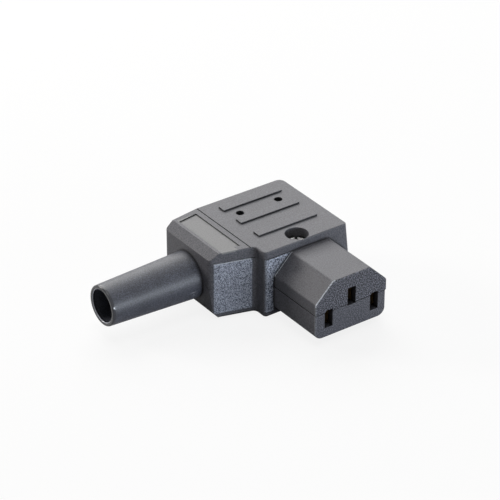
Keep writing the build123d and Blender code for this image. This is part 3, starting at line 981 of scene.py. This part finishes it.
@dataclass
class BendSleeve:
    """The tapered sleeve, with its rounded lip, neck, collar and moulding gate mark.

    Attributes:
        finish: The sleeve's finish.
        axis_y: Y of the sleeve's axis.
        axis_z: Height of the sleeve's axis.
        tip_x: X of the open end.
        base_x: X of the housing's end wall.
        neck_x: X where the neck meets the collar.
        collar_x: X of the collar's inner end.
        tip_radius: Outer radius at the open end.
        base_radius: Outer radius at the end wall.
        neck_radius: Radius of the neck in the end wall.
        collar_radius: Radius of the collar inside.
        bore_radius: Radius of the bore.
        lip: Radius of the rounded lip.
        gate_x: X of the gate mark.
        gate_turn: Angle of the gate mark round the axis, in degrees from +Y.
        gate_long: Half length of the gate mark along the sleeve.
        gate_wide: Half width of the gate mark round the sleeve.
        gate_rise: Height of the gate mark's rim.
        gate_rim: Width of that rim, as a share of the mark's half width.
        cone_points: Points along the cone.
        lip_points: Points round each quarter of the lip.
        bore_points: Points along the bore.
        around: Points round the sleeve.
        smooth_angle: Edges that turn less than this many degrees are shaded smooth.
    """

    finish: SleeveFinish = field(default_factory=SleeveFinish)
    axis_y: float = 34.3
    axis_z: float = -0.5
    tip_x: float = -50.7
    base_x: float = -25.0
    neck_x: float = -23.0
    collar_x: float = -21.0
    tip_radius: float = 5.35
    base_radius: float = 6.3
    neck_radius: float = 5.4
    collar_radius: float = 6.4
    bore_radius: float = 4.3
    lip: float = 0.34
    gate_x: float = -27.6
    gate_turn: float = 198.0
    gate_long: float = 0.95
    gate_wide: float = 0.5
    gate_rise: float = 0.18
    gate_rim: float = 0.22
    cone_points: int = 130
    lip_points: int = 9
    bore_points: int = 40
    around: int = 240
    smooth_angle: float = 35.0

    def profile(self) -> tuple[np.ndarray, np.ndarray]:
        """Work out the section: along the cone, round the lip, in along the bore and back by the collar.

        Returns:
            X and radius of each point of the closed section.
        """
        turn = np.linspace(0, np.pi / 2, self.lip_points)
        cone_x = np.linspace(self.base_x, self.tip_x + self.lip, self.cone_points)
        share = (cone_x - self.base_x) / (self.tip_x - self.base_x)
        cone_r = self.base_radius + (self.tip_radius - self.base_radius) * share
        outer_x = self.tip_x + self.lip - self.lip * np.sin(turn)
        outer_r = self.tip_radius - self.lip + self.lip * np.cos(turn)
        inner_x = self.tip_x + self.lip - self.lip * np.cos(turn)
        inner_r = self.bore_radius + self.lip - self.lip * np.sin(turn)
        bore_x = np.linspace(self.tip_x + self.lip, self.collar_x, self.bore_points)
        back_x = [self.collar_x, self.neck_x, self.neck_x, self.base_x]
        back_r = [self.collar_radius, self.collar_radius, self.neck_radius, self.neck_radius]
        along = np.concatenate([cone_x, outer_x[1:], inner_x, bore_x[1:], back_x])
        bore_r = np.full(len(bore_x) - 1, self.bore_radius)
        radius = np.concatenate([cone_r, outer_r[1:], inner_r, bore_r, back_r])
        return along, radius

    def build(self) -> bpy.types.Object:
        """Turn the section round the axis and raise the gate mark's rim.

        The rim's height is a bell curve of the distance from an ellipse on the cone's surface.

        Returns:
            The sleeve.
        """
        along, radius = self.profile()
        turn = np.linspace(0, 2 * np.pi, self.around, endpoint=False)
        x, angle = np.meshgrid(along, turn, indexing="ij")
        spread = np.repeat(radius[:, None], len(turn), axis=1)
        swing = (angle - math.radians(self.gate_turn) + np.pi) % (2 * np.pi) - np.pi
        away = np.hypot((x - self.gate_x) / self.gate_long, swing * spread / self.gate_wide)
        rim = self.gate_rise * np.exp(-(((away - 1) / self.gate_rim) ** 2))
        outside = (np.arange(len(along)) < self.cone_points)[:, None]
        spread = spread + np.where(outside, rim, 0.0)
        across, up = self.axis_y + spread * np.cos(angle), self.axis_z + spread * np.sin(angle)
        points = np.stack([x, across, up], -1).reshape(-1, 3)
        faces = grid_faces(len(along), self.around, round_rows=True)
        return mesh_object("sleeve_skin", points, faces, self.smooth_angle)

    def dress(self) -> None:
        """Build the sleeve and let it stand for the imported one."""
        piece = self.build()
        wear(piece, self.finish.build("sleeve_rubber"))
        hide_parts("bend_sleeve")


@dataclass
class SlottedScrew:
    """A cheese-head screw with a driver slot and a rolled thread.

    Attributes:
        seat: Centre of the seat under the head.
        shank_radius: Outer radius of the thread.
        shank_length: Length under the head.
        head_radius: Radius of the head.
        head_height: Height of the head.
        slot_width: Width of the driver slot.
        slot_depth: Depth of the driver slot.
        pitch: Rise of the thread for each turn.
        turn: Angle of the slot from +X, in degrees.
        edge_start: Where the small round along the head's edge starts, as a share of its radius.
        edge_drop: Fall of that round, as a share of the head's height.
        thread_start: Length under the head that has no thread, and over which the thread comes in.
        thread_depth: Depth of the thread, as a share of its pitch.
        tip_length: Length of the narrowed tip, as a share of the pitch.
        tip_share: Radius of the tip's end, as a share of the shank's.
        strips: Strips on each side of the driver slot.
        chord_points: Points along a strip.
        turn_rings: Rings for each turn of the thread.
        least_rings: Rings of the shortest shank.
        around: Points round the thread.
    """

    seat: Point
    shank_radius: float
    shank_length: float
    head_radius: float
    head_height: float
    slot_width: float
    slot_depth: float
    pitch: float = 0.5
    turn: float = 0.0
    edge_start: float = 0.86
    edge_drop: float = 0.12
    thread_start: float = 0.3
    thread_depth: float = 0.3
    tip_length: float = 0.5
    tip_share: float = 0.72
    strips: int = 16
    chord_points: int = 33
    turn_rings: int = 10
    least_rings: int = 12
    around: int = 72

    def head(self) -> tuple[np.ndarray, np.ndarray]:
        """Work out the head's top as strips across the slot, and its side down to the seat.

        Each strip is a chord of the head's circle; the strips beside the slot are doubled, so that
        its walls stand upright. A small round runs along the head's edge.

        Returns:
            Points and faces.
        """
        half = self.slot_width / 2 / self.head_radius
        side = np.sin(np.linspace(-np.pi / 2, -math.asin(half), self.strips))
        across = np.concatenate([side, [-half, half], -side[::-1]])
        depth = np.pad([self.slot_depth] * 2, self.strips)
        chord = np.linspace(-1, 1, self.chord_points)
        v, u = np.meshgrid(across, chord, indexing="ij")
        reach = np.sqrt(np.clip(1 - v**2, 0, 1))
        edge = np.hypot(u * reach, v)
        fall = np.clip((edge - self.edge_start) / (1 - self.edge_start), 0, 1) ** 2
        top = self.head_height - np.maximum(depth[:, None], self.edge_drop * self.head_height * fall)
        cos, sin = math.cos(math.radians(self.turn)), math.sin(math.radians(self.turn))
        along, beside = u * reach * self.head_radius, v * self.head_radius
        grid = np.stack([along * cos - beside * sin, along * sin + beside * cos, top], -1)
        rows, columns = v.shape
        index = np.arange(rows * columns).reshape(rows, columns)
        corners = (index[:-1, :-1], index[:-1, 1:], index[1:, 1:], index[1:, :-1])
        faces = np.stack(corners, -1).reshape(-1, 4)
        rim = np.concatenate([index[:, 0], index[::-1, -1]])
        points = grid.reshape(-1, 3)
        lower = points[rim].copy()
        lower[:, 2] = 0.0
        base = np.arange(len(rim)) + len(points)
        wall = np.stack([rim, np.roll(rim, -1), np.roll(base, -1), base], -1)
        return np.concatenate([points, lower]), np.concatenate([faces, wall])

    def shank(self) -> tuple[np.ndarray, np.ndarray]:
        """Work out the underside and the thread: the radius dips by a wave of height and angle together.

        Returns:
            Points and faces.
        """
        count = max(self.least_rings, int(self.shank_length / self.pitch * self.turn_rings))
        height = np.linspace(0, -self.shank_length, count)
        turn = np.linspace(0, 2 * np.pi, self.around, endpoint=False)
        z, angle = np.meshgrid(height, turn, indexing="ij")
        phase = z / self.pitch - angle / (2 * np.pi)
        fade = np.clip((-z - self.thread_start) / self.thread_start, 0, 1)
        wave = (1 - np.cos(2 * np.pi * phase)) / 2
        tip = np.clip((z + self.shank_length) / (self.tip_length * self.pitch), 0, 1)
        radius = self.shank_radius - self.thread_depth * self.pitch * fade * wave
        radius = radius * (self.tip_share + (1 - self.tip_share) * tip)
        rings = np.stack([radius * np.cos(angle), radius * np.sin(angle), z], -1)
        outer = np.stack([np.cos(turn), np.sin(turn), np.zeros_like(turn)], -1) * self.head_radius
        centre = np.repeat([[0.0, 0.0, -self.shank_length]], len(turn), axis=0)
        points = np.concatenate([outer[None], rings, centre[None]]).reshape(-1, 3)
        return points, grid_faces(count + 2, self.around)

    def surface(self) -> tuple[np.ndarray, np.ndarray]:
        """Join head and shank at the screw's place.

        Returns:
            Points and faces.
        """
        head_points, head_faces = self.head()
        shank_points, shank_faces = self.shank()
        points = np.concatenate([head_points, shank_points]) + np.array(self.seat)
        return points, np.concatenate([head_faces, shank_faces + len(head_points)])


@dataclass
class Fasteners:
    """All screws of the connector, one piece for each kind.

    Attributes:
        finish: The screws' finish.
        cover: Seat of the screw that holds the shells together.
        terminals: Seats of the terminal screws.
        clamps: Seats of the clamp screws.
        smooth_angle: Edges that turn less than this many degrees are shaded smooth.
    """

    finish: MetalFinish = MetalFinish(
        srgb(244, 243, 242), srgb(205, 202, 200), roughness=0.3, marks=0.5, dents=0.5, stretch=1.0
    )
    cover: Point = (-1.5, 20.75, 4.8)
    terminals: tuple[Point, ...] = ((-7.0, 25.5, 0.55), (7.0, 25.5, 0.55), (-1.15, 31.5, 4.55))
    clamps: tuple[Point, ...] = ((-17.1, 28.288, 5.0), (-17.1, 40.312, 5.0))
    smooth_angle: float = 32.0

    def groups(self) -> dict[str, list[SlottedScrew]]:
        """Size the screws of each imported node.

        Returns:
            The screws by the node's name.
        """
        large = {"slot_width": 0.8, "slot_depth": 0.8, "turn": 58.0}
        small = {"slot_width": 0.5, "slot_depth": 0.5}
        cover = {"shank_radius": 1.5, "shank_length": 10.5, "head_radius": 2.8, "head_height": 2.4}
        terminal = {"shank_radius": 1.2, "shank_length": 2.6, "head_radius": 1.9, "head_height": 1.1}
        clamp = {"shank_radius": 1.0, "shank_length": 7.0, "head_radius": 1.7, "head_height": 1.0}
        return {
            "cover_screw": [SlottedScrew(self.cover, **cover, **large)],
            "terminal_screws": [SlottedScrew(seat, **terminal, **small) for seat in self.terminals],
            "clamp_screws": [SlottedScrew(seat, **clamp, **small) for seat in self.clamps],
        }

    def dress(self) -> None:
        """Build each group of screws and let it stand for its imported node."""
        material = self.finish.build("zinc_steel")
        for node, screws in self.groups().items():
            points, faces, start = [], [], 0
            for screw in screws:
                some_points, some_faces = screw.surface()
                points.append(some_points)
                faces.append(some_faces + start)
                start += len(some_points)
            points, faces = np.concatenate(points), np.concatenate(faces)
            piece = mesh_object(node + "_threaded", points, faces, self.smooth_angle)
            wear(piece, material)
            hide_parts(node)


@dataclass
class InnerParts:
    """Contacts, terminals and clamp bar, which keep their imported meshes.

    Attributes:
        contact: Finish of the contacts.
        terminal: Finish of the terminals.
        clamp: Finish of the clamp bar.
    """

    contact: MetalFinish = MetalFinish(srgb(116, 98, 70), srgb(70, 57, 42), roughness=0.42)
    terminal: MetalFinish = MetalFinish(
        srgb(206, 172, 104), srgb(146, 112, 60), roughness=0.34, marks=0.2
    )
    clamp: ClampFinish = field(default_factory=ClampFinish)

    def dress(self, nodes: dict[str, bpy.types.Object]) -> None:
        """Give each inner part its finish.

        Args:
            nodes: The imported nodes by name.
        """
        finishes = (
            (NodeSet.CONTACTS, self.contact.build("contact_brass")),
            (NodeSet.TERMINALS, self.terminal.build("terminal_brass")),
            (NodeSet.CLAMP, self.clamp.build("clamp_plastic")),
        )
        for group, material in finishes:
            for name in group.value:
                assign(nodes[name], material)


@dataclass(frozen=True)
class SoftLight:
    """A soft lamp that points at the connector.

    Attributes:
        name: The lamp's name.
        place: Where it stands, in metres.
        size: Its width, in metres.
        power: Its power in watts.
        colour: Its colour.
        height: Its height, in metres, where it isn't square.
    """

    name: str
    place: Point
    size: float
    power: float
    colour: Colour = (1.0, 1.0, 1.0)
    height: float | None = None

    def build(self, target: Vector) -> None:
        """Make the lamp and turn it to the target.

        Args:
            target: The place that it points at.
        """
        lamp = bpy.data.lights.new(self.name, "AREA")
        lamp.shape = "RECTANGLE"
        lamp.size = self.size
        lamp.size_y = self.height or self.size
        lamp.energy = self.power
        lamp.color = self.colour
        holder = bpy.data.objects.new(self.name, lamp)
        holder.location = self.place
        holder.rotation_euler = (target - Vector(self.place)).to_track_quat("-Z", "Y").to_euler()
        bpy.context.scene.collection.objects.link(holder)


@dataclass
class Studio:
    """Pale floor, soft lamps, white surroundings and the camera.

    Attributes:
        floor_height: Height of the floor, in metres.
        floor_colour: Colour of the floor as the lens sees it.
        table_colour: Colour of the floor as it lights the connector.
        floor_half: Half of the floor's side, in metres.
        floor_glow: Share of white that the lens sees in the floor, whatever light falls on it.
        ambient: Brightness of the surroundings as they light the object.
        lamps: The lamps.
        target: Where the lamps point, in metres.
        camera_place: Where the camera stands, in metres.
        camera_right: Direction to the right of the view.
        camera_up: Direction to the top of the view.
        lens: Focal length.
        sensor: Width of the sensor.
        near: Distance from which the camera sees, in metres.
    """

    floor_height: float = -0.0092
    floor_colour: Colour = (0.9, 0.9, 0.9)
    table_colour: Colour = (0.33, 0.33, 0.35)
    floor_half: float = 3.0
    floor_glow: float = 0.85
    ambient: float = 0.07
    lamps: tuple[SoftLight, ...] = (
        SoftLight("back_lamp", (0.30, 0.72, 0.62), size=0.9, power=9.0, colour=(1.0, 0.995, 0.985)),
        SoftLight("side_lamp", (-0.58, 0.78, 0.30), size=0.3, power=5.0, colour=(1.0, 0.97, 0.93)),
        SoftLight(
            "front_lamp", (0.20, -0.79, 0.06), size=0.5, power=4.8, colour=(0.84, 0.91, 1.0), height=0.13
        ),
        SoftLight("overhead_lamp", (-0.02, 0.0, 0.9), size=0.35, power=2.0),
    )
    target: Point = (-0.02, 0.02, 0.0)
    camera_place: Point = (-0.3214, -0.4075, 0.3278)
    camera_right: Point = (0.8140, -0.5809, 0.0)
    camera_up: Point = (0.3004, 0.4209, 0.8559)
    lens: float = 180.15
    sensor: float = 36.0
    near: float = 0.01

    def build(self) -> None:
        """Make the floor, the lamps, the world and the camera."""
        self.floor()
        for lamp in self.lamps:
            lamp.build(Vector(self.target))
        self.world()
        self.camera()

    def floor(self) -> None:
        """Lay a large pale floor under the connector."""
        corners = np.array([(-1, -1, 0), (1, -1, 0), (1, 1, 0), (-1, 1, 0)]) * self.floor_half
        mesh = bpy.data.meshes.new("floor")
        mesh.from_pydata((corners + (0, 0, self.floor_height)).tolist(), [], [(0, 1, 2, 3)])
        plane = bpy.data.objects.new("floor", mesh)
        bpy.context.scene.collection.objects.link(plane)
        graph = Graph("floor_paper")
        seen = graph.node("ShaderNodeLightPath").outputs["Is Camera Ray"]
        colour = graph.colour(self.shown(graph), self.table_colour, self.floor_colour)
        paper = graph.node("ShaderNodeBsdfDiffuse", Color=colour)
        white = graph.node("ShaderNodeEmission", Color=WHITE, Strength=1.0)
        mix = graph.node("ShaderNodeMixShader", Fac=graph.times(seen, self.floor_glow))
        graph.fill(mix.inputs[1], paper.outputs[0])
        graph.fill(mix.inputs[2], white.outputs[0])
        graph.node("ShaderNodeOutputMaterial", Surface=mix.outputs[0])
        mesh.materials.append(graph.material)

    @staticmethod
    def shown(graph: Graph) -> Socket:
        """Tell what the lens sees, by itself or in gloss and glass, from light on the object.

        Args:
            graph: The material or world being made.

        Returns:
            1 for what the lens sees, and 0 for light on the object.
        """
        path = graph.node("ShaderNodeLightPath")
        found = graph.math("MAXIMUM", path.outputs["Is Camera Ray"], path.outputs["Is Glossy Ray"])
        return graph.math("MAXIMUM", found, path.outputs["Is Transmission Ray"])

    def world(self) -> None:
        """Surround the scene with white for the lens and gloss, and a plain light level for the rest."""
        world = bpy.data.worlds.new("surroundings")
        bpy.context.scene.world = world
        world.use_nodes = True
        graph = Graph.of_world(world)
        strength = graph.spread(self.shown(graph), (0.0, 1.0), (self.ambient, 1.0))
        background = graph.node("ShaderNodeBackground", Color=WHITE, Strength=strength)
        graph.node("ShaderNodeOutputWorld", Surface=background.outputs[0])

    def camera(self) -> None:
        """Stand the camera where the photograph was taken from."""
        right = Vector(self.camera_right).normalized()
        up = Vector(self.camera_up).normalized()
        back = right.cross(up)
        up = back.cross(right)
        turn = Matrix((right, up, back)).transposed().to_4x4()
        lens = bpy.data.cameras.new("camera")
        lens.lens = self.lens
        lens.sensor_width = self.sensor
        lens.clip_start = self.near
        holder = bpy.data.objects.new("camera", lens)
        holder.matrix_world = Matrix.Translation(self.camera_place) @ turn
        bpy.context.scene.collection.objects.link(holder)
        bpy.context.scene.camera = holder


def plain(bounds: object) -> list[list[float]]:
    """Return a pair of corners as plain lists of numbers."""
    low, high = bounds
    return [[float(part) for part in low], [float(part) for part in high]]


def main() -> None:
    """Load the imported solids, dress them and set up the view."""
    logging.basicConfig(level=logging.INFO, format="%(name)s %(message)s")
    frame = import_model()
    nodes = frame["nodes"]
    bpy.context.scene.view_settings.view_transform = "Standard"
    Studio().build()
    Housing().dress(nodes)
    BendSleeve().dress()
    Fasteners().dress()
    InnerParts().dress(nodes)
    bpy.context.view_layer.update()


if __name__ == "__main__":
    main()
